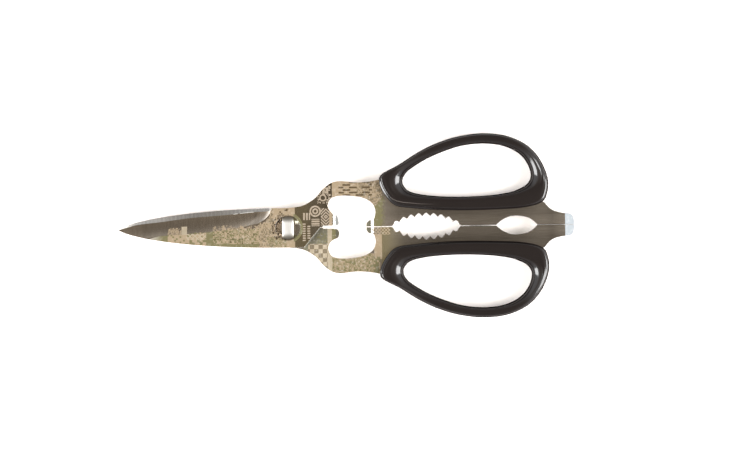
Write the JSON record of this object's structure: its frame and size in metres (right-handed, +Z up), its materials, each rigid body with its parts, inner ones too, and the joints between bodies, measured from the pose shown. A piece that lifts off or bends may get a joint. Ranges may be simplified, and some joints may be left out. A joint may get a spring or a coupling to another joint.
{
  "type": "poultry shears",
  "caption": "Take-apart kitchen and poultry shears: crossed steel blades on a pivot stud, arms with lifting and gripping openings, and moulded loop grips.",
  "frame": {"origin": "middle of the closed shears' footprint, on the table they lie flat on", "axes": "+X from the blades' tip towards the grips along the closed shears, +Y towards the upper grip (the moving one), +Z up from the table, along the pivot's axis"},
  "size_m": [0.2056, 0.083, 0.0096],
  "materials": {
    "half_steel": "satin stainless steel with fine lengthwise brushing and an etched repeat pattern",
    "stud_steel": "polished stainless steel",
    "grip_plastic": "glossy near-black moulded plastic"
  },
  "bodies": {
    "back": {"back_half": "half_steel", "lower_grip": "grip_plastic", "pivot_stud": "stud_steel"},
    "front": {"front_half": "half_steel", "upper_grip": "grip_plastic"}
  },
  "joints": [
    {"name": "blade_pivot", "type": "hinge", "parent": "back", "child": "front", "pos_m": [-0.02645, 0, 0.0048], "axis": [0, 0, 1], "range_deg": [0, 100]}
  ]
}
